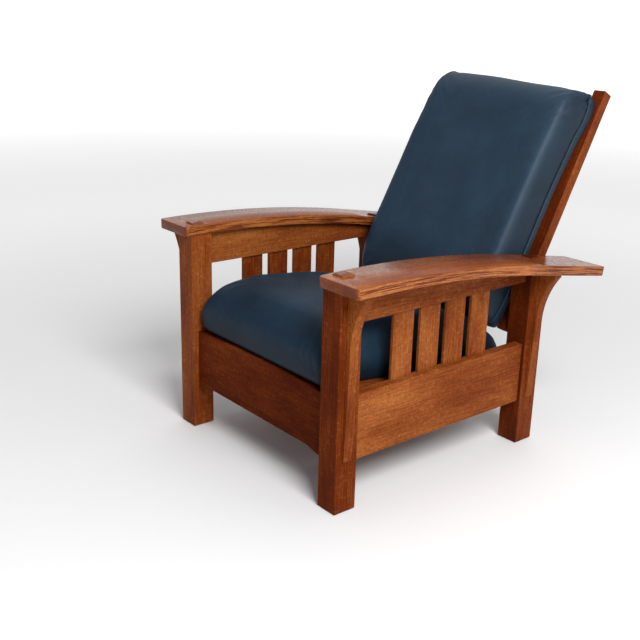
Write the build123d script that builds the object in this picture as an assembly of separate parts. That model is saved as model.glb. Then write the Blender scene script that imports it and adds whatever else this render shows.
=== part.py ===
from build123d import *
import os
from math import asin, ceil, cos, pi, radians, sin, sqrt, tan

os.makedirs("parts", exist_ok=True)

# A reclining armchair in oak with bowed arms and two leather cushions.
# Millimetres. X runs across the chair and +X is the sitter's left, Z is up and the floor is at zero.
# While the pieces are made, Y is counted rearwards from the front faces of the front posts.
# At the end all of them move so that the origin is under the middle of the chair.

# Posts, square in section
post_side = 68.0
width_over_posts = 719.5
rear_post_front_y = 698.1
foot_chamfer = 3.0
post_edge_chamfer = 1.2

# Arms, bowed boards that lie on the posts
arm_width = 144.4
arm_thickness = 27.3
arm_front_overhang = 16.8
arm_rear_overhang = 168.5
arm_crest_height = 614.2
arm_crest_y = 80.0
arm_bow_radius = 3500.0
arm_straight_y = 650.0
arm_corner_radius = 11.0
arm_edge_chamfer = 1.5

# Through tenons on the post tops
tenon_side = 38.0
tenon_stand = 4.5
tenon_bevel = 3.5
mortise_clearance = 0.15

# Corbels, curved brackets on the outer faces of the posts
corbel_width = 28.0
corbel_projection = 64.0
corbel_nose = 9.0
corbel_shoulder_projection = 31.0
corbel_shoulder_drop = 68.0
corbel_waist_projection = 14.5
corbel_waist_drop = 170.0
corbel_foot_projection = 4.5
corbel_foot_height = 143.0

# Rails between the front and rear posts
lower_rail_bottom = 132.2
lower_rail_top = 309.5
lower_rail_thickness = 28.0
lower_rail_inset = 10.0
upper_rail_drop = 122.9
upper_rail_thickness = 25.0
upper_rail_inset = 19.0
rail_edge_chamfer = 1.0
rail_tenon_length = 24.0
rail_tenon_thickness = 11.0
rail_tenon_shoulder = 10.0
tenon_end_clearance = 1.0

# Slats in each side
slat_count = 4
slat_width = 71.0
slat_pitch = 95.84
slat_group_lead = 4.09
slat_thickness = 9.0
slat_inset = 27.4
slat_tenon_length = 12.0

# Front rail, crowned above and arched below
front_rail_inset = 18.7
front_rail_thickness = 28.0
front_rail_top = 308.0
front_rail_crown = 8.5
front_rail_end_bottom = 121.5
front_rail_arch_rise = 37.0

# Rear rail
rear_rail_inset = 20.0
rear_rail_thickness = 28.0
rear_rail_bottom = 132.2
rear_rail_height = 92.0

# Seat frame, a slatted frame dropped onto cleats, sloping down to the rear
seat_slope = 6.3
seat_frame_thickness = 28.0
seat_frame_member_width = 58.0
seat_frame_side_clearance = 3.8
seat_frame_end_clearance = 2.0
seat_frame_tenon_length = 26.0
seat_frame_tenon_thickness = 11.0
seat_frame_tenon_shoulder = 8.0
seat_slat_count = 6
seat_slat_width = 62.0
seat_slat_thickness = 10.0
seat_slat_bearing = 22.0
seat_slat_clearance = 0.5

# Cleats under the seat frame, and their screws
cleat_width = 30.0
cleat_height = 42.0
cleat_screw_count = 4
cleat_screw_spacing = 150.0
cleat_screw_drop = 24.0
cleat_screw_radius = 2.5
cleat_screw_bite = 18.0
cleat_screw_head_radius = 5.0
cleat_screw_head_height = 3.5
cleat_screw_clearance = 0.1

# Back frame, a ladder that turns between the rear posts
back_lean = 27.5
back_clearance = 6.8
back_stile_width = 40.0
back_stile_depth = 35.0
back_stile_above_pivot = 722.8
back_stile_below_pivot = 31.0
back_edge_chamfer = 1.5
pivot_behind_post_face = 38.1
pivot_above_front_rail = 39.0
back_rung_count = 5
back_rung_thickness = 18.0
back_rung_height = 62.0
back_rung_front_inset = 6.0
back_rung_tenon_length = 22.0
back_rung_tenon_thickness = 9.0
back_rung_tenon_shoulder = 6.0
lowest_rung_above_pivot = 96.0
highest_rung_above_pivot = 668.0

# Pivot pins and the washers that centre the back frame
pivot_pin_radius = 8.0
pivot_pin_bite = 36.0
pivot_pin_head_radius = 13.0
pivot_pin_head_height = 6.0
pivot_pin_chamfer = 1.2
running_clearance = 0.05
washer_radius = 19.0
washer_gap = 0.3

# Pegs in the arms that stop the back frame
peg_radius = 9.0
peg_bite = 45.0
peg_head_radius = 15.0
peg_head_length = 18.0
peg_head_gap = 9.0
peg_chamfer = 1.5
peg_hole_clearance = 0.05
peg_rest_gap = 0.3
peg_hole_extra_depth = 2.0
peg_hole_pitch = 33.0
peg_holes_ahead = 2
peg_holes_behind = 1

# Cushions. Each has a flat base, full sides and a crowned face, and is rounded off at both ends.
cushion_gap = 0.3
cushion_base_inset = 12.0
cushion_shoulder_inset = 30.0
cushion_corner = 16.0
cushion_draw = 4.0
cushion_full_share = 0.45
cushion_end_crown_share = 0.15
cushion_end_steps = 4
cushion_section_pitch = 62.0

seat_cushion_front_overhang = 0.2
seat_cushion_rear_reach = 5.9
seat_cushion_side_clearance = 8.75
seat_cushion_edge_height = 151.0
seat_cushion_crown = 11.0
seat_cushion_front_round = 72.0
seat_cushion_front_face = 62.0
seat_cushion_rear_round = 350.0
seat_cushion_rear_face = 6.0
seat_cushion_tuck = 12.0

back_cushion_side_clearance = 6.75
back_cushion_bottom = -37.0
back_cushion_top = 710.0
back_cushion_lower_thickness = 143.0
back_cushion_upper_thickness = 122.0
back_cushion_crown = 12.0
back_cushion_bottom_round = 170.0
back_cushion_bottom_face = 34.0
back_cushion_top_round = 105.0
back_cushion_top_face = 48.0

# Places worked out from the sizes above
overrun = 50.0
half_width = width_over_posts / 2
post_inner_x = half_width - post_side
rear_post_back_y = rear_post_front_y + post_side
arm_front_y = -arm_front_overhang
arm_rear_y = rear_post_back_y + arm_rear_overhang
arm_outer_x = post_inner_x + arm_width
bow_centre_z = arm_crest_height - arm_bow_radius
bow_angle_front = asin((arm_front_y - arm_crest_y) / arm_bow_radius)
bow_angle_rear = asin((arm_straight_y - arm_crest_y) / arm_bow_radius)


def across(y, z):
    """A point of an outline that is drawn seen from the side of the chair."""
    return Vector(0, y, z)


def bow_point(angle, depth):
    """A point at this depth below the arm's top, on the bowed stretch."""
    radius = arm_bow_radius - depth
    return across(arm_crest_y + radius * sin(angle), bow_centre_z + radius * cos(angle))


def arm_rear_point(depth):
    """The rear end of the straight stretch, at this depth below the arm's top."""
    start = bow_point(bow_angle_rear, depth)
    length = (arm_rear_y - arm_straight_y) / cos(bow_angle_rear)
    return start + across(length * cos(bow_angle_rear), -length * sin(bow_angle_rear))


def arm_edges(depth):
    """The bowed and the straight edge at this depth, from front to rear."""
    middle = bow_point((bow_angle_front + bow_angle_rear) / 2, depth)
    bow = ThreePointArc(bow_point(bow_angle_front, depth), middle, bow_point(bow_angle_rear, depth))
    return [bow, Line(bow @ 1, arm_rear_point(depth))]


def side_solid(edges, x_low, x_high):
    """A closed outline seen from the side, carried across from one X to another."""
    face = make_face(edges)
    return Pos(x_low, 0, 0) * extrude(face, amount=x_high - x_low, dir=(1, 0, 0))


def block(x_low, x_high, y_low, y_high, z_low, z_high):
    """A box between these limits."""
    size = Box(x_high - x_low, y_high - y_low, z_high - z_low)
    return Pos((x_low + x_high) / 2, (y_low + y_high) / 2, (z_low + z_high) / 2) * size


def below_arm(depth, x_low, x_high):
    """Everything under the arm's top surface lowered by this depth."""
    upper = arm_edges(depth)
    front, rear = upper[0] @ 0, upper[1] @ 1
    lower = Polyline(rear, across(rear.Y, 0), across(front.Y, 0), front)
    return side_solid(upper + [lower], x_low, x_high)


def rod(x_low, x_high, y, z, radius):
    """A round rod along X."""
    shape = Rot(0, 90, 0) * Cylinder(radius, x_high - x_low)
    return Pos((x_low + x_high) / 2, y, z) * shape


def long_edges(shape, axis):
    """The straight edges of a piece that run along this axis."""
    return shape.edges().filter_by(GeomType.LINE).filter_by(axis)


# The left side is made first. The right side is its mirror image.
post_outer_x = half_width
slat_outer_x = half_width - slat_inset
slat_inner_x = slat_outer_x - slat_thickness
lower_rail_outer_x = half_width - lower_rail_inset
lower_rail_inner_x = lower_rail_outer_x - lower_rail_thickness
upper_rail_outer_x = half_width - upper_rail_inset
upper_rail_inner_x = upper_rail_outer_x - upper_rail_thickness
front_rail_back_y = front_rail_inset + front_rail_thickness
rear_rail_front_y = rear_post_front_y + rear_rail_inset
rear_rail_back_y = rear_rail_front_y + rear_rail_thickness
rear_rail_top = rear_rail_bottom + rear_rail_height
upper_rail_bottom = arm_crest_height - upper_rail_drop
front_rail_end_top = front_rail_top - front_rail_crown
front_rail_arch_top = front_rail_end_bottom + front_rail_arch_rise
slat_group_length = (slat_count - 1) * slat_pitch + slat_width
slat_group_middle_y = (post_side + rear_post_front_y) / 2 - slat_group_lead


def side_rail_tenons(inner_x, thickness, low, high, grow):
    """The tenons at both ends of a side rail, or their mortises when grown."""
    middle = inner_x + thickness / 2
    reach = rail_tenon_length + (tenon_end_clearance if grow else 0)
    half = rail_tenon_thickness / 2 + grow
    front = post_side - reach
    return block(middle - half, middle + half, front, rear_post_front_y + reach, low - grow, high + grow)


def lower_rail_tenons(grow):
    low = lower_rail_bottom + rail_tenon_shoulder
    high = lower_rail_top - rail_tenon_shoulder
    return side_rail_tenons(lower_rail_inner_x, lower_rail_thickness, low, high, grow)


def upper_rail_tenons(grow):
    low = upper_rail_bottom + rail_tenon_shoulder / 2
    high = arm_crest_height
    bar = side_rail_tenons(upper_rail_inner_x, upper_rail_thickness, low, high, grow)
    return bar & below_arm(arm_thickness + rail_tenon_shoulder - grow, post_inner_x, post_outer_x)


def front_rail_tenons(grow):
    low = front_rail_end_bottom + rail_tenon_shoulder
    high = front_rail_end_top - rail_tenon_shoulder
    reach = post_inner_x + rail_tenon_length + (tenon_end_clearance if grow else 0)
    middle = front_rail_inset + front_rail_thickness / 2
    half = rail_tenon_thickness / 2 + grow
    return block(-reach, reach, middle - half, middle + half, low - grow, high + grow)


def rear_rail_tenons(grow):
    low = rear_rail_bottom + rail_tenon_shoulder
    high = rear_rail_top - rail_tenon_shoulder
    reach = post_inner_x + rail_tenon_length + (tenon_end_clearance if grow else 0)
    middle = rear_rail_front_y + rear_rail_thickness / 2
    half = rail_tenon_thickness / 2 + grow
    return block(-reach, reach, middle - half, middle + half, low - grow, high + grow)


# Pivot of the back frame, and the peg that its stile rests against
lean = radians(back_lean)
pivot_y = rear_post_front_y + pivot_behind_post_face
pivot_height = front_rail_top + pivot_above_front_rail
stile_outer_x = post_inner_x - back_clearance
stile_inner_x = stile_outer_x - back_stile_width
stile_back_y = pivot_y + back_stile_depth / 2 / cos(lean)
arm_fall = tan(bow_angle_rear)
arm_core = bow_point(bow_angle_rear, arm_thickness / 2)
peg_standoff = (peg_radius + peg_rest_gap) / cos(lean)
peg_reach = stile_back_y + peg_standoff + tan(lean) * (arm_core.Z - pivot_height + arm_fall * arm_core.Y)
peg_y = peg_reach / (1 + arm_fall * tan(lean))
peg_z = arm_core.Z - arm_fall * (peg_y - arm_core.Y)


def peg_hole_place(step):
    """Centre of a peg hole, this many holes behind the one in use."""
    along = step * peg_hole_pitch
    return peg_y + along * cos(bow_angle_rear), peg_z - along * sin(bow_angle_rear)


def post(front_y):
    """A post with its through tenon, mortised for the rails."""
    middle_x = half_width - post_side / 2
    middle_y = front_y + post_side / 2
    shaft = block(post_inner_x, post_outer_x, front_y, front_y + post_side, 0, arm_crest_height)
    shaft = chamfer(shaft.faces().sort_by(Axis.Z)[0].edges(), foot_chamfer)
    shaft = chamfer(long_edges(shaft, Axis.Z), post_edge_chamfer)
    shaft = shaft & below_arm(arm_thickness, post_inner_x - overrun, post_outer_x + overrun)
    half = tenon_side / 2
    tall = block(middle_x - half, middle_x + half, middle_y - half, middle_y + half,
                 0, arm_crest_height + overrun)
    tenon = tall & below_arm(-tenon_stand, post_inner_x, post_outer_x)
    tenon = chamfer(tenon.faces().sort_by(Axis.Z)[-1].edges(), tenon_bevel)
    return shaft + tenon


def arm_rims(board):
    """The edges round the arm's top and underside, less the seams where bow and straight meet."""
    rims = []
    for face in board.faces():
        facing = face.normal_at()
        if facing.Z ** 2 > facing.X ** 2 + facing.Y ** 2:
            seams = face.edges().filter_by(Axis.X).filter_by_position(Axis.Y, 0, rear_post_back_y)
            rims = rims + [edge for edge in face.edges() if edge not in seams]
    return rims


def arm():
    """A bowed arm with mortises for the tenons and a row of peg holes in its inner edge."""
    upper = arm_edges(0)
    lower = arm_edges(arm_thickness)
    front = Line(lower[0] @ 0, upper[0] @ 0)
    rear = Line(upper[1] @ 1, lower[1] @ 1)
    board = side_solid(upper + [rear] + lower + [front], post_inner_x, arm_outer_x)
    ends = board.faces().sort_by(Axis.Y)
    front_corners = ends[0].edges().filter_by(Axis.X, reverse=True)
    rear_corners = ends[-1].edges().filter_by(Axis.X, reverse=True)
    board = fillet(front_corners + rear_corners, arm_corner_radius)
    board = chamfer(arm_rims(board), arm_edge_chamfer)
    half = tenon_side / 2 + mortise_clearance
    for front_y in (0, rear_post_front_y):
        x, y = half_width - post_side / 2, front_y + post_side / 2
        board = board - block(x - half, x + half, y - half, y + half, 0, arm_crest_height + overrun)
    for step in range(-peg_holes_ahead, peg_holes_behind + 1):
        y, z = peg_hole_place(step)
        bottom_x = post_inner_x + peg_bite + peg_hole_extra_depth
        board = board - rod(post_inner_x - overrun, bottom_x, y, z, peg_radius + peg_hole_clearance)
    return board


def corbel(front_y):
    """A curved bracket under the arm, centred on the outer face of its post."""
    y_low = front_y + (post_side - corbel_width) / 2
    top = arm_crest_height
    under = arm_underside(front_y + post_side / 2)
    tip = half_width + corbel_projection
    nose = Vector(tip, 0, under - corbel_nose)
    shoulder = Vector(half_width + corbel_shoulder_projection, 0, under - corbel_shoulder_drop)
    waist = Vector(half_width + corbel_waist_projection, 0, under - corbel_waist_drop)
    foot = Vector(half_width + corbel_foot_projection, 0, corbel_foot_height)
    curve = ThreePointArc(nose, shoulder, waist)
    rest = Polyline(waist, foot, Vector(half_width, 0, corbel_foot_height), Vector(half_width, 0, top),
                    Vector(tip, 0, top), nose)
    shape = extrude(make_face([curve, rest]), amount=corbel_width, dir=(0, 1, 0))
    return Pos(0, y_low, 0) * shape & below_arm(arm_thickness, half_width - overrun, tip + overrun)


def arm_underside(y):
    """Height of the arm's underside at this Y."""
    if y > arm_straight_y:
        start = bow_point(bow_angle_rear, arm_thickness)
        return start.Z - arm_fall * (y - start.Y)
    radius = arm_bow_radius - arm_thickness
    return bow_centre_z + sqrt(radius ** 2 - (y - arm_crest_y) ** 2)


def slat_place(index):
    """Front edge of a side slat."""
    return slat_group_middle_y - slat_group_length / 2 + index * slat_pitch


def side_slat(index, grow):
    """A side slat with its ends let into the rails, or its mortises when grown."""
    y = slat_place(index)
    reach = slat_tenon_length + (tenon_end_clearance if grow else 0)
    return block(slat_inner_x - grow, slat_outer_x + grow, y - grow, y + slat_width + grow,
                 lower_rail_top - reach, upper_rail_bottom + reach)


def lower_side_rail():
    """The deep rail between the posts, with a mortise for each slat."""
    rail = block(lower_rail_inner_x, lower_rail_outer_x, post_side, rear_post_front_y,
                 lower_rail_bottom, lower_rail_top)
    rail = chamfer(long_edges(rail, Axis.Y), rail_edge_chamfer)
    rail = rail + lower_rail_tenons(0)
    for index in range(slat_count):
        rail = rail - side_slat(index, mortise_clearance)
    return rail


def upper_side_rail():
    """The rail under the arm, cut along the arm's underside."""
    rail = block(upper_rail_inner_x, upper_rail_outer_x, post_side, rear_post_front_y,
                 upper_rail_bottom, arm_crest_height)
    rail = rail & below_arm(arm_thickness, post_inner_x, post_outer_x)
    rail = rail + upper_rail_tenons(0)
    for index in range(slat_count):
        rail = rail - side_slat(index, mortise_clearance)
    return rail


def front_rail():
    """The rail under the cushion's front, crowned along its top and arched below."""
    end = post_inner_x
    top = ThreePointArc(Vector(-end, 0, front_rail_end_top), Vector(0, 0, front_rail_top),
                        Vector(end, 0, front_rail_end_top))
    arch = ThreePointArc(Vector(end, 0, front_rail_end_bottom), Vector(0, 0, front_rail_arch_top),
                         Vector(-end, 0, front_rail_end_bottom))
    ends = [Line(top @ 1, arch @ 0), Line(arch @ 1, top @ 0)]
    face = make_face([top, arch] + ends)
    rail = Pos(0, front_rail_inset, 0) * extrude(face, amount=front_rail_thickness, dir=(0, 1, 0))
    return rail + front_rail_tenons(0)


def rear_rail():
    rail = block(-post_inner_x, post_inner_x, rear_rail_front_y, rear_rail_back_y,
                 rear_rail_bottom, rear_rail_top)
    rail = chamfer(long_edges(rail, Axis.X), rail_edge_chamfer)
    return rail + rear_rail_tenons(0)


# The seat deck slopes down to the rear from just above the front rail's crown.
# On it, local X runs across, local Y runs down the slope and local Z stands square to it.
slope = radians(seat_slope)
deck_front_z = front_rail_top + cushion_gap
deck = Plane(origin=(0, front_rail_back_y, deck_front_z), x_dir=(1, 0, 0), z_dir=(0, sin(slope), cos(slope)))
frame_half_width = post_inner_x - seat_frame_side_clearance
frame_start = seat_frame_end_clearance + seat_frame_thickness * tan(slope)
frame_end = (rear_rail_front_y - front_rail_back_y) / cos(slope) - seat_frame_thickness * tan(slope)
frame_end = frame_end - seat_frame_end_clearance
frame_inner_x = frame_half_width - seat_frame_member_width


def deck_height(y):
    """Height of the deck at this Y."""
    return deck_front_z - tan(slope) * (y - front_rail_back_y)


def cross_tenons(y_low, y_high, grow):
    """Tenons at both ends of a cross member of the seat frame, or their mortises when grown."""
    reach = frame_inner_x + seat_frame_tenon_length + (tenon_end_clearance if grow else 0)
    middle = -seat_frame_thickness / 2
    half = seat_frame_tenon_thickness / 2 + grow
    shoulder = seat_frame_tenon_shoulder - grow
    return block(-reach, reach, y_low + shoulder, y_high - shoulder, middle - half, middle + half)


cross_member_spans = {
    "seat_frame_front": (frame_start, frame_start + seat_frame_member_width),
    "seat_frame_rear": (frame_end - seat_frame_member_width, frame_end),
}


def seat_frame_side():
    """A side member of the seat frame, with a rabbet for the slats."""
    member = block(frame_inner_x, frame_half_width, frame_start, frame_end, -seat_frame_thickness, 0)
    first, last = cross_member_spans["seat_frame_front"][1], cross_member_spans["seat_frame_rear"][0]
    rabbet = block(frame_inner_x - overrun, frame_inner_x + seat_slat_bearing, first, last,
                   -seat_slat_thickness, overrun)
    member = member - rabbet
    for span in cross_member_spans.values():
        member = member - cross_tenons(span[0], span[1], mortise_clearance)
    return member


def seat_cross_member(span):
    member = block(-frame_inner_x, frame_inner_x, span[0], span[1], -seat_frame_thickness, 0)
    return member + cross_tenons(span[0], span[1], 0)


def seat_slat(index):
    """A slat across the seat frame, lying in the rabbets."""
    first, last = cross_member_spans["seat_frame_front"][1], cross_member_spans["seat_frame_rear"][0]
    gap = (last - first - seat_slat_count * seat_slat_width) / (seat_slat_count + 1)
    y = first + gap + index * (seat_slat_width + gap)
    reach = frame_inner_x + seat_slat_bearing - seat_slat_clearance
    return block(-reach, reach, y, y + seat_slat_width, -seat_slat_thickness, 0)


def cleat_screws(rail_face_y, toward, grow):
    """The screws that hold a cleat to its rail, or their holes when grown."""
    z = frame_underside(rail_face_y) - cleat_screw_drop
    head_y = rail_face_y + toward * cleat_width
    screws = []
    for index in range(cleat_screw_count):
        x = (index - (cleat_screw_count - 1) / 2) * cleat_screw_spacing
        length = cleat_width - cleat_screw_head_height + cleat_screw_bite
        shank = Rot(90, 0, 0) * Cylinder(cleat_screw_radius + grow, length + grow)
        middle = head_y - toward * (cleat_screw_head_height + (length + grow) / 2)
        head = Rot(90, 0, 0) * Cylinder(cleat_screw_head_radius + grow, cleat_screw_head_height)
        screw = Pos(x, middle, z) * shank
        screw = screw + Pos(x, head_y - toward * cleat_screw_head_height / 2, z) * head
        screws.append(screw)
    return screws


def frame_underside(y):
    """Height of the seat frame's underside at this Y."""
    return deck_height(y) - seat_frame_thickness / cos(slope)


def cleat(rail_face_y, toward):
    """A bar along a rail that the seat frame lies on, its top bevelled to the slope."""
    y_low, y_high = sorted((rail_face_y, rail_face_y + toward * cleat_width))
    bottom = frame_underside(rail_face_y) - cleat_height
    outline = Polyline(across(y_low, bottom), across(y_high, bottom), across(y_high, frame_underside(y_high)),
                       across(y_low, frame_underside(y_low)), across(y_low, bottom))
    bar = side_solid([outline], -frame_half_width, frame_half_width)
    for screw in cleat_screws(rail_face_y, toward, cleat_screw_clearance):
        bar = bar - screw
    return bar


# The back frame is made upright around its pivot, then leaned back.
# There, local Y is zero at the pivot and negative in front, and local Z is zero at the pivot.
def lean_back(shape):
    return Pos(0, pivot_y, pivot_height) * Rot(-back_lean, 0, 0) * shape


stile_front = -back_stile_depth / 2
rung_front = stile_front + back_rung_front_inset
rung_middle = rung_front + back_rung_thickness / 2


def rung_height(index):
    """Middle of a rung above the pivot."""
    step = (highest_rung_above_pivot - lowest_rung_above_pivot) / (back_rung_count - 1)
    return lowest_rung_above_pivot + index * step


def rung_tenons(index, grow):
    """Tenons at both ends of a rung, or their mortises when grown."""
    reach = stile_inner_x + back_rung_tenon_length + (tenon_end_clearance if grow else 0)
    half = back_rung_tenon_thickness / 2 + grow
    tall = back_rung_height / 2 - back_rung_tenon_shoulder + grow
    middle = rung_height(index)
    return block(-reach, reach, rung_middle - half, rung_middle + half, middle - tall, middle + tall)


def back_stile():
    """A long upright of the back frame, bored for its pivot pin."""
    stile = block(stile_inner_x, stile_outer_x, stile_front, -stile_front,
                  -back_stile_below_pivot, back_stile_above_pivot)
    stile = chamfer(stile.edges(), back_edge_chamfer)
    for index in range(back_rung_count):
        stile = stile - rung_tenons(index, mortise_clearance)
    bore = rod(stile_inner_x - overrun, stile_outer_x + overrun, 0, 0, pivot_pin_radius + running_clearance)
    return stile - bore


def back_rung(index):
    middle = rung_height(index)
    rung = block(-stile_inner_x, stile_inner_x, rung_front, rung_front + back_rung_thickness,
                 middle - back_rung_height / 2, middle + back_rung_height / 2)
    rung = chamfer(long_edges(rung, Axis.X), rail_edge_chamfer)
    return rung + rung_tenons(index, 0)


def pivot_pin():
    """A headed oak pin through the stile into a blind hole in the rear post."""
    tip = post_inner_x + pivot_pin_bite
    shank = rod(stile_inner_x - washer_gap, tip, pivot_y, pivot_height, pivot_pin_radius)
    shank = chamfer(shank.faces().sort_by(Axis.X)[-1].edges(), pivot_pin_chamfer)
    head = rod(stile_inner_x - washer_gap - pivot_pin_head_height, stile_inner_x - washer_gap,
               pivot_y, pivot_height, pivot_pin_head_radius)
    head = chamfer(head.faces().sort_by(Axis.X)[0].edges(), pivot_pin_chamfer)
    return shank + head


def pivot_washer():
    """A ring between the stile and the rear post."""
    ring = rod(stile_outer_x + washer_gap, post_inner_x, pivot_y, pivot_height, washer_radius)
    bore_radius = pivot_pin_radius + running_clearance
    return ring - rod(stile_outer_x, post_inner_x, pivot_y, pivot_height, bore_radius)


def peg():
    """A peg in the arm's inner edge that the stile rests against."""
    head_x = stile_inner_x - peg_head_gap
    shank = rod(head_x, post_inner_x + peg_bite, peg_y, peg_z, peg_radius)
    shank = chamfer(shank.faces().sort_by(Axis.X)[-1].edges(), peg_chamfer)
    head = rod(head_x - peg_head_length, head_x, peg_y, peg_z, peg_head_radius)
    head = chamfer(head.edges().filter_by(GeomType.CIRCLE), peg_chamfer)
    return shank + head


def padded(stations, place):
    """A cushion lofted through cross-sections, each flat below, full at the sides and crowned above.

    A station gives its place along the cushion, its half widths at the base, at the fullest and at the
    shoulder, and its heights at the base, at the fullest, at the shoulder and at the crown.
    """
    faces = []
    for along, base_x, full_x, shoulder_x, base_z, full_z, shoulder_z, crown_z in stations:
        base = Line(Vector(-base_x, along, base_z), Vector(base_x, along, base_z))
        side = ThreePointArc(base @ 1, Vector(full_x, along, full_z), Vector(shoulder_x, along, shoulder_z))
        top = ThreePointArc(side @ 1, Vector(0, along, crown_z), Vector(-shoulder_x, along, shoulder_z))
        other = ThreePointArc(top @ 1, Vector(-full_x, along, full_z), base @ 0)
        faces.append(place * make_face([base, side, top, other]))
    return loft(faces)


class Cushion:
    """A cushion's sizes. Its ends are rounded off as quarter ellipses, and its sides are drawn in."""

    def __init__(self, start, length, half, heights, crown, first_end, last_end, tuck):
        self.start, self.length, self.half = start, length, half
        self.heights, self.crown = heights, crown
        self.first_end, self.last_end, self.tuck = first_end, last_end, tuck

    def station(self, along, fullness, face):
        """The section this far along. Fullness runs from 0 at an end's face to 1 past its rounding."""
        share = along / self.length
        full_height = self.heights[0] + (self.heights[1] - self.heights[0]) * share
        low = self.tuck * (1 - fullness) ** 2
        high = face + (full_height - face) * fullness
        wide = self.half - cushion_corner * (1 - fullness) - cushion_draw * sin(pi * share)
        thickness = (high - low) / full_height
        base = wide - cushion_base_inset * thickness
        shoulder = wide - cushion_shoulder_inset * thickness
        full_at = low + (high - low) * cushion_full_share
        bulge = cushion_end_crown_share + (1 - cushion_end_crown_share) * fullness ** 2
        crown = high + self.crown * bulge
        return self.start + along, base, wide, shoulder, low, full_at, high, crown

    def stations(self):
        """Sections from one end to the other."""
        first_round, first_face = self.first_end
        last_round, last_face = self.last_end
        steps = [pi / 2 * step / cushion_end_steps for step in range(cushion_end_steps)]
        rows = [self.station(first_round * (1 - cos(turn)), sin(turn), first_face) for turn in steps]
        flat = self.length - first_round - last_round
        spans = ceil(flat / cushion_section_pitch)
        for step in range(spans + 1):
            rows.append(self.station(first_round + flat * step / spans, 1, first_face))
        for turn in reversed(steps):
            rows.append(self.station(self.length - last_round * (1 - cos(turn)), sin(turn), last_face))
        return rows


def seat_cushion():
    """The seat cushion, lying on the front rail and on the seat frame."""
    front_y = front_rail_inset - seat_cushion_front_overhang
    rear_y = rear_post_front_y + seat_cushion_rear_reach
    start = (front_y - front_rail_back_y) / cos(slope)
    length = (rear_y - front_y) / cos(slope)
    half = post_inner_x - seat_cushion_side_clearance
    heights = (seat_cushion_edge_height, seat_cushion_edge_height)
    shape = Cushion(start, length, half, heights, seat_cushion_crown,
                    (seat_cushion_front_round, seat_cushion_front_face),
                    (seat_cushion_rear_round, seat_cushion_rear_face), seat_cushion_tuck)
    stuffing = padded(shape.stations(), deck.location)
    under = block(-half_width, half_width, start - overrun, start + length + overrun, -overrun, 0)
    return stuffing - deck.location * under


def back_cushion():
    """The back cushion, lying against the stiles. Its lower end is rounded to pass over the seat."""
    half = post_inner_x - back_cushion_side_clearance
    heights = (back_cushion_lower_thickness, back_cushion_upper_thickness)
    shape = Cushion(back_cushion_bottom, back_cushion_top - back_cushion_bottom, half, heights,
                    back_cushion_crown,
                    (back_cushion_bottom_round, back_cushion_bottom_face),
                    (back_cushion_top_round, back_cushion_top_face), 0)
    front = Plane(origin=(0, stile_front, 0), x_dir=(1, 0, 0), z_dir=(0, -1, 0))
    stuffing = padded(shape.stations(), front.location)
    low, high = back_cushion_bottom - overrun, back_cushion_top + overrun
    behind = block(-half_width, half_width, stile_front, overrun, low, high)
    return lean_back(stuffing - behind)


def both_sides(name, shape):
    """A left piece and its mirror image on the right."""
    return {name + "_left": shape, name + "_right": mirror(shape, about=Plane.YZ)}


def screw_group():
    front = cleat_screws(front_rail_back_y, 1, 0)
    rear = cleat_screws(rear_rail_front_y, -1, 0)
    return Compound(children=front + rear)


def drilled_rail(rail, rail_face_y, toward):
    """A rail with the pilot holes for its cleat's screws."""
    for screw in cleat_screws(rail_face_y, toward, cleat_screw_clearance):
        rail = rail - screw
    return rail


front_post = post(0)
front_post = front_post - lower_rail_tenons(mortise_clearance) - upper_rail_tenons(mortise_clearance)
front_post = front_post - front_rail_tenons(mortise_clearance)
rear_post = post(rear_post_front_y)
rear_post = rear_post - lower_rail_tenons(mortise_clearance) - upper_rail_tenons(mortise_clearance)
rear_post = rear_post - rear_rail_tenons(mortise_clearance)
pin_hole = rod(post_inner_x, post_inner_x + pivot_pin_bite + tenon_end_clearance, pivot_y, pivot_height,
               pivot_pin_radius + running_clearance)
rear_post = rear_post - pin_hole

pieces = {}
pieces.update(both_sides("front_post", front_post))
pieces.update(both_sides("rear_post", rear_post))
pieces.update(both_sides("arm", arm()))
pieces.update(both_sides("front_corbel", corbel(0)))
pieces.update(both_sides("rear_corbel", corbel(rear_post_front_y)))
pieces.update(both_sides("lower_side_rail", lower_side_rail()))
pieces.update(both_sides("upper_side_rail", upper_side_rail()))
for number in range(slat_count):
    pieces.update(both_sides(f"side_slat_{number + 1}", side_slat(number, 0)))
pieces["front_rail"] = drilled_rail(front_rail(), front_rail_back_y, 1)
pieces["rear_rail"] = drilled_rail(rear_rail(), rear_rail_front_y, -1)
pieces["front_cleat"] = cleat(front_rail_back_y, 1)
pieces["rear_cleat"] = cleat(rear_rail_front_y, -1)
pieces["cleat_screws"] = screw_group()
pieces.update(both_sides("seat_frame_side", deck.location * seat_frame_side()))
for name, span in cross_member_spans.items():
    pieces[name] = deck.location * seat_cross_member(span)
for number in range(seat_slat_count):
    pieces[f"seat_slat_{number + 1}"] = deck.location * seat_slat(number)
pieces["seat_cushion"] = seat_cushion()
pieces.update(both_sides("back_stile", lean_back(back_stile())))
for number in range(back_rung_count):
    pieces[f"back_rung_{number + 1}"] = lean_back(back_rung(number))
pieces["back_cushion"] = back_cushion()
pieces.update(both_sides("pivot_pin", pivot_pin()))
pieces.update(both_sides("pivot_washer", pivot_washer()))
pieces.update(both_sides("peg", peg()))

# The chair reaches from the arms' front ends to the rear top corners of the stiles.
rearmost_y = pivot_y + back_stile_above_pivot * sin(lean) + back_stile_depth / 2 * cos(lean)
middle_y = (bow_point(bow_angle_front, 0).Y + rearmost_y) / 2
for name, shape in pieces.items():
    export_step(Pos(0, -middle_y, 0) * shape, f"parts/{name}.step")
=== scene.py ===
from math import cos, pi, radians, sin

import bmesh
import bpy
import numpy as np
from mathutils import Matrix, Vector
from mathutils.bvhtree import BVHTree


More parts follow.
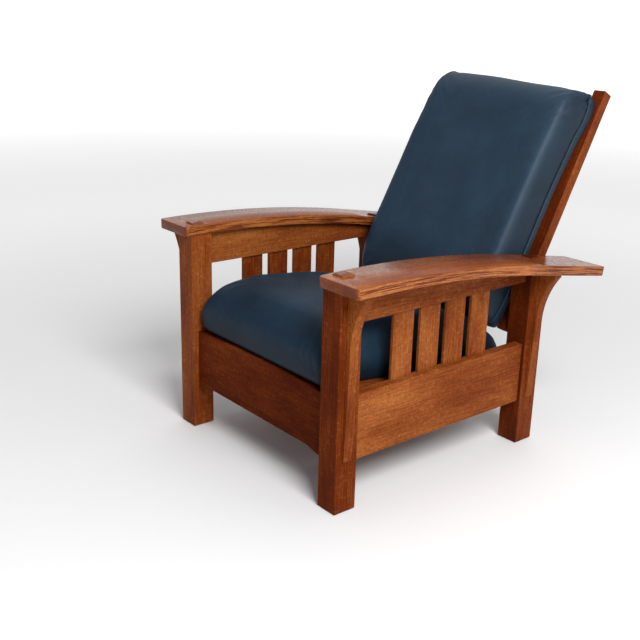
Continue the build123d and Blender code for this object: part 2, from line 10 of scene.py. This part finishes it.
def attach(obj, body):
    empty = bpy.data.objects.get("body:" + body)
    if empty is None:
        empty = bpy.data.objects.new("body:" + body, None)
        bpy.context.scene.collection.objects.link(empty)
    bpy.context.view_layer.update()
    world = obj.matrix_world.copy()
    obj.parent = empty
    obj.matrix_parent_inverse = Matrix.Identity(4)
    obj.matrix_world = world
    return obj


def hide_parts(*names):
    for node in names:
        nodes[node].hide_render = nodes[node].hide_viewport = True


# A reclining armchair in stained oak with two blue leather cushions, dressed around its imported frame.
# Metres. X runs across the chair and +X is the sitter's left, the chair faces -Y, and the floor is at zero.
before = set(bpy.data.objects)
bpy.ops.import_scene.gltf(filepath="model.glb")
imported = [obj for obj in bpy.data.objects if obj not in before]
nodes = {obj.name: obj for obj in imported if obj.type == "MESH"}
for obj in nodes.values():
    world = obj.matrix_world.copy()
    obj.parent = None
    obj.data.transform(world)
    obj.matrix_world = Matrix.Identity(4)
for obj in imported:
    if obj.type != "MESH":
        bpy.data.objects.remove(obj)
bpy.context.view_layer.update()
scene = bpy.context.scene

# The photographer's camera stood at the sitter's left front corner, a little above the arms,
# and was tipped down and very slightly turned about its own axis.
camera_place = Vector((1.92745, -1.90013, 1.21695))
camera_turn = radians(50.27196)
camera_tip = radians(18.59607)
camera_roll = radians(1.52462)
lens = bpy.data.cameras.new("camera")
lens.lens = 52.966
lens.sensor_width = 36.0
camera = bpy.data.objects.new("camera", lens)
scene.collection.objects.link(camera)
ahead = Vector((-sin(camera_turn) * cos(camera_tip), cos(camera_turn) * cos(camera_tip), -sin(camera_tip)))
rightward = Vector((cos(camera_turn), sin(camera_turn), 0))
upward = rightward.cross(ahead)
picture_right = cos(camera_roll) * rightward + sin(camera_roll) * upward
picture_up = cos(camera_roll) * upward - sin(camera_roll) * rightward
camera_axes = Matrix((picture_right, picture_up, -ahead)).transposed().to_4x4()
camera.matrix_world = Matrix.Translation(camera_place) @ camera_axes
scene.camera = camera
scene.view_settings.view_transform = "Standard"


class Signal:
    """What comes out of a node of a finish. Python's operators on values add Math nodes."""

    def __init__(self, socket):
        self.socket = socket
        self.tree = socket.id_data

    def node(self, kind, settings, sockets, output=0):
        """Adds a node. Its settings are set first, then the values or links of its sockets."""
        made = self.tree.nodes.new(kind)
        for name, value in settings.items():
            if name == "stops":
                ramp = made.color_ramp
                while len(ramp.elements) < len(value):
                    ramp.elements.new(1.0)
                for element, (place, colour) in zip(ramp.elements, value):
                    element.position = place
                    element.color = (*colour, 1.0)
            else:
                setattr(made, name, value)
        for key, value in sockets.items():
            if isinstance(value, Signal):
                self.tree.links.new(value.socket, made.inputs[key])
            else:
                made.inputs[key].default_value = value
        return Signal(made.outputs[output])

    def math(self, operation, first, second=0.0):
        return self.node("ShaderNodeMath", {"operation": operation}, {0: first, 1: second})

    def __add__(self, other):
        return self.math("ADD", self, other)

    def __radd__(self, other):
        return self.math("ADD", other, self)

    def __sub__(self, other):
        return self.math("SUBTRACT", self, other)

    def __rsub__(self, other):
        return self.math("SUBTRACT", other, self)

    def __mul__(self, other):
        return self.math("MULTIPLY", self, other)

    def __rmul__(self, other):
        return self.math("MULTIPLY", other, self)

    def __truediv__(self, other):
        return self.math("DIVIDE", self, other)

    def __pow__(self, other):
        return self.math("POWER", self, other)

    def least(self, other):
        return self.math("MINIMUM", self, other)

    def sine(self):
        return self.math("SINE", self)

    def over(self, low, high):
        """0 up to the low value and 1 from the high value, with a soft change between them."""
        return self.node("ShaderNodeMapRange", {"interpolation_type": "SMOOTHSTEP"},
                         {0: self, 1: low, 2: high})

    def along(self, direction):
        """How far this point lies along a direction."""
        return self.node("ShaderNodeVectorMath", {"operation": "DOT_PRODUCT"}, {0: self, 1: direction}, 1)

    def speckle(self, x, y, z, detail=2.0, roughness=0.5):
        """Noise that varies about once in each unit of these three values."""
        place = self.node("ShaderNodeCombineXYZ", {}, {0: x, 1: y, 2: z})
        return self.node("ShaderNodeTexNoise", {}, {"Vector": place, "Scale": 1.0, "Detail": detail,
                                                    "Roughness": roughness})

    def tinted(self, share, colour):
        """This colour, mixed with another one by a share."""
        return self.node("ShaderNodeMix", {"data_type": "RGBA"}, {0: share, 6: self, 7: (*colour, 1.0)}, 2)

    def ramp(self, stops):
        """The colour that this value picks between stops."""
        return self.node("ShaderNodeValToRGB", {"stops": stops}, {0: self})


# The studio is a pale floor with a painted glow that rises with distance from the chair, and it meets a low
# white wall all round. Soft light comes from above and from the sitter's left. The backdrop behind the
# chair is bright, the rest is dim.
floor_mesh = bpy.data.meshes.new("floor")
floor_shape = bmesh.new()
bmesh.ops.create_grid(floor_shape, x_segments=8, y_segments=8, size=40.0)
floor_shape.to_mesh(floor_mesh)
floor = bpy.data.objects.new("floor", floor_mesh)
scene.collection.objects.link(floor)
floor_paint = bpy.data.materials.new("floor_paint")
floor_paint.use_nodes = True
floor_shader = floor_paint.node_tree.nodes["Principled BSDF"]
floor_shader.inputs["Base Color"].default_value = (0.86, 0.86, 0.86, 1.0)
floor_shader.inputs["Roughness"].default_value = 0.9
floor_shader.inputs["Specular IOR Level"].default_value = 0.1
floor_place = Signal(floor_paint.node_tree.nodes.new("ShaderNodeTexCoord").outputs["Object"])
floor_reach = floor_place.node("ShaderNodeVectorMath", {"operation": "LENGTH"}, {0: floor_place}, 1)
# Painted light: the floor glows, not at all within half a metre of the chair and more and more further out.
floor_rise = floor_reach.over(0.5, 3.6) * 0.40 + floor_reach.over(3.0, 11.0) * 0.55
backdrop_glow = floor_rise.ramp([(0.0, (0.0, 0.0, 0.0)), (1.0, (1.0, 1.0, 1.0))])
backdrop_glow.tree.links.new(backdrop_glow.socket, floor_shader.inputs["Emission Color"])
floor_shader.inputs["Emission Strength"].default_value = 1.0
floor_mesh.materials.append(floor_paint)

sky = bpy.data.worlds.new("studio")
sky.use_nodes = True
scene.world = sky
sky_light = sky.node_tree.nodes["Background"]
sky_way = Signal(sky.node_tree.nodes.new("ShaderNodeTexCoord").outputs["Generated"])
bright_side = Vector((-0.60, 0.70, 0.12)).normalized()
above_backdrop = 1.0 - sky_way.along(bright_side).over(0.45, 0.90)
above_low_wall = sky_way.along(Vector((0, 0, 1))).over(0.06, 0.30)
sky_share = 1.0 - above_backdrop * above_low_wall
sky_colour = sky_share.ramp([(0.0, (0.17, 0.17, 0.18)), (1.0, (0.95, 0.95, 0.95))])
sky.node_tree.links.new(sky_colour.socket, sky_light.inputs["Color"])
sky_light.inputs["Strength"].default_value = 1.1


def softbox(name, place, aim, width, height, power):
    """A rectangular studio light that faces a point."""
    lamp = bpy.data.lights.new(name, "AREA")
    lamp.shape = "RECTANGLE"
    lamp.size, lamp.size_y = width, height
    lamp.energy = power
    stand = bpy.data.objects.new(name, lamp)
    stand.location = place
    stand.rotation_mode = "QUATERNION"
    stand.rotation_quaternion = (Vector(aim) - Vector(place)).to_track_quat("-Z", "Y")
    scene.collection.objects.link(stand)


softbox("side_light", (2.75, -1.15, 2.9), (0.0, 0.0, 0.5), 1.6, 1.6, 155.0)
softbox("top_light", (0.3, 0.5, 3.8), (0.0, 0.2, 0.3), 3.2, 3.2, 25.0)


# The frame is quartersawn oak, wiped with a warm red-brown stain and finished with a satin lacquer.
# Its pores hold the stain as fine dark dashes, and the growth rings show as narrow stripes.
lengthwise = Vector((0, 1, 0))
crosswise = Vector((1, 0, 0))
upright = Vector((0, 0, 1))


def start_finish(name, settings):
    """A material with its shader and the point of the piece that is being shaded."""
    material = bpy.data.materials.new(name)
    material.use_nodes = True
    shader = material.node_tree.nodes["Principled BSDF"]
    for socket, value in settings.items():
        shader.inputs[socket].default_value = value
    point = Signal(material.node_tree.nodes.new("ShaderNodeTexCoord").outputs["Object"])
    return material, shader, point


def feed(shader, **signals):
    """Links signals to the shader's sockets of the same names."""
    for name, signal in signals.items():
        signal.tree.links.new(signal.socket, shader.inputs[name.replace("_", " ")])


ring_spacing = 0.0064
rubbed_tenon_tone = 0.71
no_tenon = 9.0


def oak(name, grain, across, light=0.5, fade=0.0, gloss=0.035, finish_roughness=0.36, bowed=False,
        sides_painted_lighter=0.0, tenon_base=no_tenon, pore_relief=0.25):
    """Stained oak with its grain along one direction. A fade makes it darker along the board.

    A bowed board's grain follows its bow, and its sawn edges show long dark streaks.
    Faces that look across are painted lighter, as painted light, and the bowed board's edges most.
    End grain drinks more stain and is darker. A tenon is rubbed pale and polished above its base.
    """
    material, shader, point = start_finish(name, {"IOR": 1.5, "Specular IOR Level": gloss})
    length, width = point.along(grain), point.along(across)
    depth = point.along(grain.cross(across))
    if bowed:
        run = (length + arm_crest_place).least(arm_straight_start)
        depth = depth - run * run * (0.5 / arm_bow_radius)
        depth = depth - (length + arm_crest_place - run) * arm_fall
    drift = point.speckle(length * 1.7, width * 8.0, depth * 8.0, 2.0)
    ring_width, ring_depth = width + 0.23, depth - 0.31
    radius = (ring_width * ring_width + ring_depth * ring_depth) ** 0.5 + drift * 0.022
    early = ((radius * (2 * pi / ring_spacing)).sine() * 0.5 + 0.5) ** 2.0
    fibre = point.speckle(length * 14.0, width * 330.0, depth * 330.0, 3.0, 0.6)
    cloud = point.speckle(length * 4.0, width * 11.0, depth * 11.0, 3.0)
    pore = point.speckle(length * 80.0, width * 700.0, depth * 700.0, 1.0).over(0.50, 0.62)
    fleck = point.speckle(length * 140.0, width * 60.0, depth * 60.0, 1.0).over(0.56, 0.70)
    facing = Signal(material.node_tree.nodes["Texture Coordinate"].outputs["Normal"])
    end_grain = facing.along(grain) ** 2.0
    tenon = point.along(upright).over(tenon_base, tenon_base + 0.001)
    tone = (fibre - 0.5) * 0.72 + (cloud - 0.5) * 0.90 - early * 0.05 + fleck * 0.14 + (light + 0.02)
    tone = tone - length * fade - end_grain * 0.3 + tenon * (rubbed_tenon_tone - light)
    if bowed:
        streak = point.speckle(length * 9.0, width * 400.0, depth * 400.0, 2.0).over(0.49, 0.58)
        sides_painted_lighter = 0.32 - streak * 0.66
    # Painted light: faces that look across are made lighter than the others.
    tone = tone + facing.along(across) ** 2.0 * sides_painted_lighter
    stain = tone.ramp([(0.0, (0.060, 0.0090, 0.0018)), (0.32, (0.126, 0.0212, 0.0034)),
                       (0.62, (0.225, 0.054, 0.0106)), (1.0, (0.385, 0.128, 0.031))])
    stain = stain.tinted(pore * 0.4, (0.034, 0.006, 0.002))
    roughness = finish_roughness + pore * 0.2 - fleck * 0.05
    relief = fibre * 0.35 - pore
    surface = relief.node("ShaderNodeBump", {},
                          {"Strength": pore_relief, "Distance": 0.0004, "Height": relief})
    feed(shader, Base_Color=stain, Roughness=roughness, Normal=surface)
    if tenon_base < no_tenon:
        feed(shader, Coat_Weight=tenon * 0.5)
        shader.inputs["Coat Roughness"].default_value = 0.22
    return material


def finish_nodes(material, *names, eased=0.0011):
    """Gives these pieces of the frame their finish, with their sharp edges eased by sandpaper."""
    for name in names:
        mesh = nodes[name].data
        mesh.materials.clear()
        mesh.materials.append(material)
        if eased:
            weld = nodes[name].modifiers.new("weld", "WELD")
            weld.merge_threshold = 0.00002
            edges = nodes[name].modifiers.new("eased", "BEVEL")
            edges.width = eased
            edges.segments = 2
            edges.limit_method = "ANGLE"
            edges.angle_limit = radians(50)


def both(name):
    return name + "_left", name + "_right"


# Four square posts stand at the corners. Each is one piece of oak, and its top runs through the arm
# as a square tenon that stands a little proud.
arm_underside = 0.6
# All four posts have their side faces painted lighter than their fronts, as painted light.
post_oak = oak("post_oak", upright, crosswise, 0.31, gloss=0.015, sides_painted_lighter=0.08,
               tenon_base=arm_underside)
paler_post_oak = oak("paler_post_oak", upright, crosswise, 0.5, sides_painted_lighter=0.08,
                     tenon_base=arm_underside)
# The rear posts are painted darker, with lighter sides, as painted shade from the arms and seat.
shaded_rear_post_oak = oak("shaded_rear_post_oak", upright, crosswise, 0.16, sides_painted_lighter=0.24,
                    tenon_base=arm_underside)
finish_nodes(post_oak, "front_post_left")
finish_nodes(paler_post_oak, "front_post_right")
finish_nodes(shaded_rear_post_oak, *both("rear_post"))

# The arms are thick boards sawn to a long bow, with rounded ends, pinned over the post tenons.
# Their grain follows the bow, and their edges show it as long dark streaks, on edges painted lighter as
# painted light.
arm_bow_radius = 3.5
arm_crest_place = 0.4543
arm_straight_start = 0.57
arm_fall = 0.163
arm_oak = oak("arm_oak", lengthwise, crosswise, 0.58, fade=0.2, gloss=0.18, finish_roughness=0.22,
              bowed=True, pore_relief=0.07)
finish_nodes(arm_oak, *both("arm"))

# A bracket with a long hollow curve is glued to the outer face of each post, under the arm.
corbel_oak = oak("corbel_oak", upright, lengthwise, 0.57)
finish_nodes(corbel_oak, *both("front_corbel"), *both("rear_corbel"))

# Each side has a deep rail below and a narrow one cut along the arm's underside.
# Both are tenoned into the posts.
side_rail_oak = oak("side_rail_oak", lengthwise, upright, 0.57, fade=0.42)
finish_nodes(side_rail_oak, *both("lower_side_rail"), *both("upper_side_rail"))

# Four flat slats stand in each side, with their ends let into the rails.
# Those at the sitter's right are painted darker, as painted shade.
slat_oak = oak("slat_oak", upright, lengthwise, 0.64)
shaded_slat_oak = oak("shaded_slat_oak", upright, lengthwise, 0.46)
for number in (1, 2, 3, 4):
    finish_nodes(slat_oak, f"side_slat_{number}_left")
    finish_nodes(shaded_slat_oak, f"side_slat_{number}_right")

# The front rail is crowned along its top and arched below. The rear rail behind the seat is plain.
cross_rail_oak = oak("cross_rail_oak", crosswise, upright, 0.20, fade=0.16, gloss=0.01)
finish_nodes(cross_rail_oak, "front_rail", "rear_rail")

# The seat frame is a plain slatted frame of paler oak, dropped onto two cleats.
# Steel screws with dark heads hold the cleats to the rails.
seat_side_oak = oak("seat_side_oak", lengthwise, crosswise, 0.62)
seat_cross_oak = oak("seat_cross_oak", crosswise, lengthwise, 0.62)
finish_nodes(seat_side_oak, *both("seat_frame_side"))
finish_nodes(seat_cross_oak, "seat_frame_front", "seat_frame_rear", "front_cleat", "rear_cleat")
for number in range(1, 7):
    finish_nodes(seat_cross_oak, f"seat_slat_{number}")


def metal(name, colour, roughness):
    """Turned brass or steel with fine tool marks and a little tarnish."""
    material, shader, point = start_finish(name, {"Metallic": 1.0})
    tarnish = point.speckle(point.along(crosswise) * 220.0, point.along(lengthwise) * 220.0,
                            point.along(upright) * 220.0, 3.0)
    marks = point.speckle(point.along(crosswise) * 2600.0, point.along(lengthwise) * 90.0,
                          point.along(upright) * 90.0, 1.0)
    dark = tuple(share * 0.45 for share in colour)
    tint = tarnish.ramp([(0.3, dark), (0.7, colour)])
    surface = marks.node("ShaderNodeBump", {}, {"Strength": 0.2, "Distance": 0.0001, "Height": marks})
    feed(shader, Base_Color=tint, Roughness=tarnish * 0.25 + roughness, Normal=surface)
    return material


finish_nodes(metal("screw_brass", (0.62, 0.43, 0.19), 0.3), "cleat_screws", eased=0.0)

# The back frame is a ladder of two long stiles and five rungs. It leans on two pegs
# and turns on pins in the rear posts.
back_lean = radians(27.5)
up_the_back = Vector((0, sin(back_lean), cos(back_lean)))
# The stiles' front faces are painted darker than their sides, as painted shade from the back cushion.
stile_oak = oak("stile_oak", up_the_back, crosswise, 0.22, sides_painted_lighter=0.28)
rung_oak = oak("rung_oak", crosswise, up_the_back, 0.5)
finish_nodes(stile_oak, *both("back_stile"))
for number in range(1, 6):
    finish_nodes(rung_oak, f"back_rung_{number}")

# Turned oak pins carry the back frame, with a brass washer each. Two turned pegs in the arms stop it.
peg_oak = oak("peg_oak", crosswise, upright, 0.42)
finish_nodes(peg_oak, *both("pivot_pin"), *both("peg"))
finish_nodes(metal("washer_brass", (0.66, 0.47, 0.2), 0.28), *both("pivot_washer"), eased=0.0)

# The cushions are covered in smooth dark blue leather with a soft shine. The dye is a little uneven,
# and the skin has a fine pebble.


def leather(name, seed, painted_dimming, shine, shaded_faces, painted_face_shade, shaded_foot_height=-1.0):
    """Dyed leather, dimmed as a whole by a painted shade factor, with painted shade on the faces that look
    along one direction and on its foot.
    """
    settings = {"IOR": 1.5, "Specular IOR Level": shine, "Specular Tint": (0.66, 0.82, 1.0, 1.0)}
    material, shader, point = start_finish(name, settings)
    x, y, z = (point.along(way) + seed for way in (crosswise, lengthwise, upright))
    cloud = point.speckle(x * 6.0, y * 6.0, z * 6.0, 3.0)
    mottle = point.speckle(x * 70.0, y * 70.0, z * 70.0, 4.0, 0.6)
    pebble = point.speckle(x * 900.0, y * 900.0, z * 900.0, 2.0)
    facing = Signal(material.node_tree.nodes["Texture Coordinate"].outputs["Normal"])
    # Painted shade: darker on faces that look along the chosen direction, and low down near the foot.
    tone = cloud * 0.7 + mottle * 0.3 - facing.along(shaded_faces) ** 2.0 * painted_face_shade
    tone = tone - (1.0 - point.along(upright).over(shaded_foot_height, shaded_foot_height + 0.09)) * 0.34
    depths = ((0.0, (0.0030, 0.0080, 0.0150)), (0.3, (0.0066, 0.0175, 0.032)),
              (0.5, (0.0105, 0.0265, 0.047)), (0.7, (0.0160, 0.039, 0.066)))
    dye = tone.ramp([(place, tuple(part * painted_dimming for part in colour)) for place, colour in depths])
    relief = pebble * 0.6 + mottle * 0.8
    surface = relief.node("ShaderNodeBump", {}, {"Strength": 0.3, "Distance": 0.0006, "Height": relief})
    feed(shader, Base_Color=dye, Roughness=0.50 + mottle * 0.16, Normal=surface)
    return material


# Painted shade: the seat leather is dimmed a little and is darker on its front face and low down by the
# front rail; the back leather is darker on its side faces.
seat_leather = leather("seat_leather", 0.0, 0.94, 0.20, lengthwise, 0.14, shaded_foot_height=0.31)
back_leather = leather("back_leather", 5.0, 1.0, 0.50, crosswise, 0.40)


# The seat cushion is a thick boxed cushion with a rolled front edge. It lies on the front rail
# and on the slatted frame, flat below and crowned above.
deck_slope = radians(6.3)
deck = Matrix.Translation((0, -0.487637, 0.3083)) @ Matrix.Rotation(-deck_slope, 4, "X")
cover_mesh_size = 0.0065
stuffing_pressure = 4.0
stuffing_cap = 0.024


def cover_start(name, node):
    """A closed cover with an even mesh, as large as the room for the cushion."""
    shape = bmesh.new()
    shape.from_mesh(nodes[node].data)
    bmesh.ops.remove_doubles(shape, verts=shape.verts, dist=0.00002)
    mesh = bpy.data.meshes.new(name)
    shape.to_mesh(mesh)
    shape.free()
    cover = bpy.data.objects.new(name, mesh)
    scene.collection.objects.link(cover)
    even = cover.modifiers.new("even", "REMESH")
    even.mode = "VOXEL"
    even.voxel_size = cover_mesh_size
    swept = bpy.data.meshes.new_from_object(cover.evaluated_get(bpy.context.evaluated_depsgraph_get()))
    cover.modifiers.clear()
    cover.data = swept
    return cover


def points_of(cover):
    """The points of a cover as rows of numbers."""
    found = np.empty(len(cover.data.vertices) * 3)
    cover.data.vertices.foreach_get("co", found)
    return found.reshape(-1, 3)


def normals_of(cover):
    found = np.empty(len(cover.data.vertices) * 3)
    cover.data.vertices.foreach_get("normal", found)
    return found.reshape(-1, 3)


def move_points(cover, points):
    cover.data.vertices.foreach_set("co", points.ravel())
    cover.data.update()


def relaxed(cover, points, rounds):
    """The points after each has been drawn towards its neighbours a number of times."""
    links = np.empty(len(cover.data.edges) * 2, dtype=np.int64)
    cover.data.edges.foreach_get("vertices", links)
    first, second = links.reshape(-1, 2).T
    count = np.bincount(first, minlength=len(points)) + np.bincount(second, minlength=len(points))
    for _ in range(rounds):
        total = np.zeros_like(points)
        for axis in range(3):
            total[:, axis] = (np.bincount(first, points[second, axis], len(points))
                              + np.bincount(second, points[first, axis], len(points)))
        points = points + 0.5 * (total / count[:, None] - points)
    return points


def creases(cover, held):
    """The fine creases that stuffing makes in a cover. It swells from a smaller start, up to a cap."""
    room = points_of(cover)
    start = room - normals_of(cover) * 0.012
    move_points(cover, start)
    group = cover.vertex_groups.new(name="held")
    group.add(np.flatnonzero(held).tolist(), 1.0, "REPLACE")
    cloth = cover.modifiers.new("cloth", "CLOTH")
    cloth.settings.use_pressure = True
    cloth.settings.uniform_pressure_force = stuffing_pressure
    cloth.settings.effector_weights.gravity = 0
    cloth.settings.vertex_group_mass = "held"
    cloth.point_cache.frame_end = 20
    for step in range(1, 21):
        scene.frame_set(step)
    swollen = points_of(cover.evaluated_get(bpy.context.evaluated_depsgraph_get()))
    cover.modifiers.clear()
    cover.vertex_groups.clear()
    scene.frame_set(1)
    move = swollen - start
    far = np.maximum(np.linalg.norm(move, axis=1), 1e-9)
    swollen = start + move * np.minimum(1.0, stuffing_cap / far)[:, None]
    move_points(cover, room)
    return swollen - relaxed(cover, swollen, 14)


def turned(matrix, points):
    """The points in another frame."""
    turn = np.array(matrix)
    return points @ turn[:3, :3].T + turn[:3, 3]


def bell(values, middle, spread):
    """1 at the middle value, and smoothly less on both sides of it."""
    return np.exp(-((values - middle) / spread) ** 2)


def rise(values, start, run):
    """0 up to the start, then a straight rise that reaches 1 after its run."""
    return np.clip((values - start) / run, 0.0, 1.0)


def finish_cover(cover, skin, node, body):
    """Gives a cover its leather, a finer mesh and its place in the chair."""
    cover.data.materials.append(skin)
    cover.data.shade_smooth()
    finer = cover.modifiers.new("finer", "SUBSURF")
    finer.levels = finer.render_levels = 1
    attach(cover, body)
    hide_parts(node)


crease_share = 0.35
seat_cover = cover_start("seat_cushion_leather", "seat_cushion")
seat_room = points_of(seat_cover)
seat_height = turned(deck.inverted(), seat_room)[:, 2]
seat_points = relaxed(seat_cover, seat_room, 14)
seat_points = seat_points + creases(seat_cover, seat_height < 0.02) * crease_share
seat_points = turned(deck.inverted(), seat_points)

# Under the leather the foam is fuller than a plain block: it bulges forward over the rail and is crowned.
# Its upper rear edge is pressed down where the back cushion sits when it is brought forward.
seat_thickness = 0.15
front_bulge = 0.014
front_fall = 0.021
crown = 0.011
corner_fall = 0.008
rear_edge_place = 0.597
across, along, above = seat_points.T
fullness = rise(above, 0.0, seat_thickness)
to_front = rise(-along, -0.1316, 0.16)
along -= front_bulge * to_front ** 2 * np.sin(pi * np.clip(fullness * 0.95, 0.0, 1.0))
above -= front_fall * to_front ** 2 * fullness ** 2
from_sides = 1.0 - (across / 0.283) ** 2
shoulders = bell(np.abs(across), 0.25, 0.04)
above += crown * (from_sides + shoulders) * rise(along, -0.03, 0.16) * fullness ** 2
above -= corner_fall * bell(np.abs(across), 0.27, 0.05) * bell(along, 0.05, 0.07) * fullness ** 2
pressed = (0.010 - 0.004 * (across / 0.25) ** 2) * rise(-np.abs(across), -0.275, 0.03)
above -= pressed * bell(along, rear_edge_place, 0.04) * rise(above, 0.05, 0.035)
above[:] = np.where(seat_height < 0.003, 0.0, np.maximum(above, 0.0))
move_points(seat_cover, turned(deck, seat_points))
finish_cover(seat_cover, seat_leather, "seat_cushion", "base")

# The back cushion is boxed too, with a thin piping along the front of its boxing. It lies against
# the back frame, held by its own weight, and turns with it.
pivot = Vector((0, 0.2018627, 0.347))
back_plane = Matrix.Translation(pivot) @ Matrix(((1, 0, 0), (0, sin(back_lean), -cos(back_lean)),
                                                 (0, cos(back_lean), sin(back_lean)))).to_4x4()
stile_face = 0.0175
back_cover = cover_start("back_cushion_leather", "back_cushion")
back_room = points_of(back_cover)
back_reach, back_height = turned(back_plane.inverted(), back_room).T[1:]
back_points = relaxed(back_cover, back_room, 14)
crisp = np.clip((back_reach - 0.62) / 0.06, 0.0, 0.75)[:, None]
back_points = back_points * (1 - crisp) + relaxed(back_cover, back_room, 3) * crisp
back_points = back_points + creases(back_cover, back_height < stile_face + 0.02) * crease_share
back_points = turned(back_plane.inverted(), back_points)
across, along, above = back_points.T
above[:] = np.where(back_height < stile_face + 0.003, stile_face, np.maximum(above, stile_face))

# The boxing slants in towards the back frame, but stands out over it at the top corners.
# The top sags a little at the sitter's left.
half_width = 0.28
slant = np.interp(along, (0.38, 0.46, 0.53, 0.59, 0.65), (0.021, 0.013, 0.006, -0.003, -0.011))
slant = slant * (1.0 - rise(above, stile_face, 0.05)) ** 1.5
at_top = rise(along, 0.45, 0.26)
across -= np.sign(across) * slant * rise(np.abs(across), 0.0, 0.24) ** 4
leftward = np.clip(across / half_width, 0.0, 1.1)
sag = 0.024 * leftward ** 2 + 0.008 * bell(across, 0.08, 0.11) - 0.004 * rise(-across, 0.0, half_width)
along -= sag * at_top ** 2
across -= 0.008 * leftward ** 4 * at_top ** 2

# Its face panel stands fullest along both sides, in a long soft roll.
lower_down = np.clip((0.72 - along) / 0.25, 0.25, 1.0)
roll = bell(np.abs(across), 0.244, 0.052) * rise(above, 0.06, 0.07) * lower_down
above += 0.014 * roll
across += 0.003 * np.sign(across) * roll

# At the top corners the face panel is gathered into the seam, in a few short pleats and a small ear.
# The mesh is made finer there first.
ear_reach = 0.022
pleat_width = 0.006
move_points(back_cover, back_points)
shape = bmesh.new()
shape.from_mesh(back_cover.data)
for reach in (0.06, 0.045):
    near = [edge for edge in shape.edges
            if min((edge.verts[end].co - Vector((side * 0.27, 0.685, 0.06))).length
                   for side in (-1, 1) for end in (0, 1)) < reach]
    bmesh.ops.subdivide_edges(shape, edges=near, cuts=1, use_grid_fill=True)
shape.to_mesh(back_cover.data)
shape.free()
back_points = points_of(back_cover)
for side in (-1, 1):
    away = back_points - np.array((side * 0.272, 0.700, 0.062))
    outward = np.array((side * 0.62, 0.76, 0.18))
    swell = (0.010 if side > 0 else 0.014) * bell(np.linalg.norm(away, axis=1), 0.0, ear_reach)
    back_points += outward * swell[:, None]
move_points(back_cover, back_points)
pleat_skin = BVHTree.FromPolygons([Vector(point) for point in back_points],
                                  [tuple(face.vertices) for face in back_cover.data.polygons])
pleat_carve = np.zeros(len(back_points))
for side in (-1, 1):
    corner = Vector((side * 0.276, 0.674, 0.054))
    for reach, deep in (((-0.030, -0.016, 0.022), 0.0085), ((-0.020, 0.008, 0.024), 0.0055),
                        ((-0.008, -0.034, 0.028), 0.0030)):
        end = corner + Vector((side * reach[0], reach[1], reach[2]))
        line = np.array([pleat_skin.find_nearest(corner.lerp(end, share / 10.0))[0] for share in range(11)])
        gaps = np.linalg.norm(back_points[:, None, :] - line[None, :, :], axis=2)
        share = gaps.argmin(axis=1) / 10.0
        fold = deep * (1.0 - 0.6 * share) * bell(gaps.min(axis=1), 0.0, pleat_width)
        pleat_carve = np.maximum(pleat_carve, fold)
back_points -= normals_of(back_cover) * pleat_carve[:, None]
back_points[:, 2] = np.maximum(back_points[:, 2], stile_face)


seam_places = (0.0, 0.38, 0.50, 0.55, 0.61, 0.68)
seam_heights = (0.080, 0.077, 0.070, 0.066, 0.053, 0.052)


def seam_height(place):
    """How far in front of the back frame the boxing's front seam runs, at a place up the cushion."""
    return float(np.interp(place, seam_places, seam_heights))


move_points(back_cover, turned(back_plane, back_points))
back_skin = BVHTree.FromPolygons([Vector(point) for point in back_points],
                                 [tuple(face.vertices) for face in back_cover.data.polygons])
seam_line = []
seam_steps = 360
cushion_middle = 0.335
for step in range(seam_steps):
    turn = 2 * pi * step / seam_steps
    way = Vector((cos(turn), sin(turn), 0))
    reach = cushion_middle
    for _ in range(3):
        start = Vector((0, cushion_middle, seam_height(cushion_middle + way.y * reach)))
        hit = back_skin.ray_cast(start, way)[0]
        reach = (hit - start).length
    seam_line.append(hit)
seam_points = np.array(seam_line)

# The seam draws the leather in, so it lies in a shallow groove with small puckers across it.
groove_depth = 0.0028
pucker_spacing = 0.031
pucker_depth = 0.0005
near_seam = np.empty(len(back_points))
for index in range(0, len(back_points), 4000):
    block = back_points[index:index + 4000]
    gaps = np.linalg.norm(block[:, None, :] - seam_points[None, ::2, :], axis=2)
    near_seam[index:index + 4000] = gaps.min(axis=1)
inward = normals_of(back_cover) @ np.array(back_plane)[:3, :3]
pucker = np.sin(back_points[:, 1] * 2 * pi / pucker_spacing + 2.0 * np.sin(back_points[:, 1] * 17.0))
pucker = pucker * bell(near_seam, 0.0, 0.022) * pucker_depth
back_points -= inward * (groove_depth * bell(near_seam, 0.0, 0.0065) + pucker)[:, None]
back_points[:, 2] = np.maximum(back_points[:, 2], stile_face)
move_points(back_cover, turned(back_plane, back_points))
finish_cover(back_cover, back_leather, "back_cushion", "back")

# The piping is a cord wrapped in a bias strip of the same leather, sewn into that seam.
piping_curve = bpy.data.curves.new("back_cushion_piping", "CURVE")
piping_curve.dimensions = "3D"
piping_curve.bevel_depth = 0.0034
piping_curve.bevel_resolution = 3
piping_line = piping_curve.splines.new("POLY")
piping_line.points.add(seam_steps - 1)
for point, hit in zip(piping_line.points, seam_line):
    flat = Vector((hit.x, hit.y - cushion_middle, 0)).normalized()
    point.co = (*(back_plane @ (hit + flat * 0.0006)), 1.0)
piping_line.use_cyclic_u = True
piping = bpy.data.objects.new("back_cushion_piping", piping_curve)
scene.collection.objects.link(piping)
piping_curve.materials.append(back_leather)
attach(piping, "back")
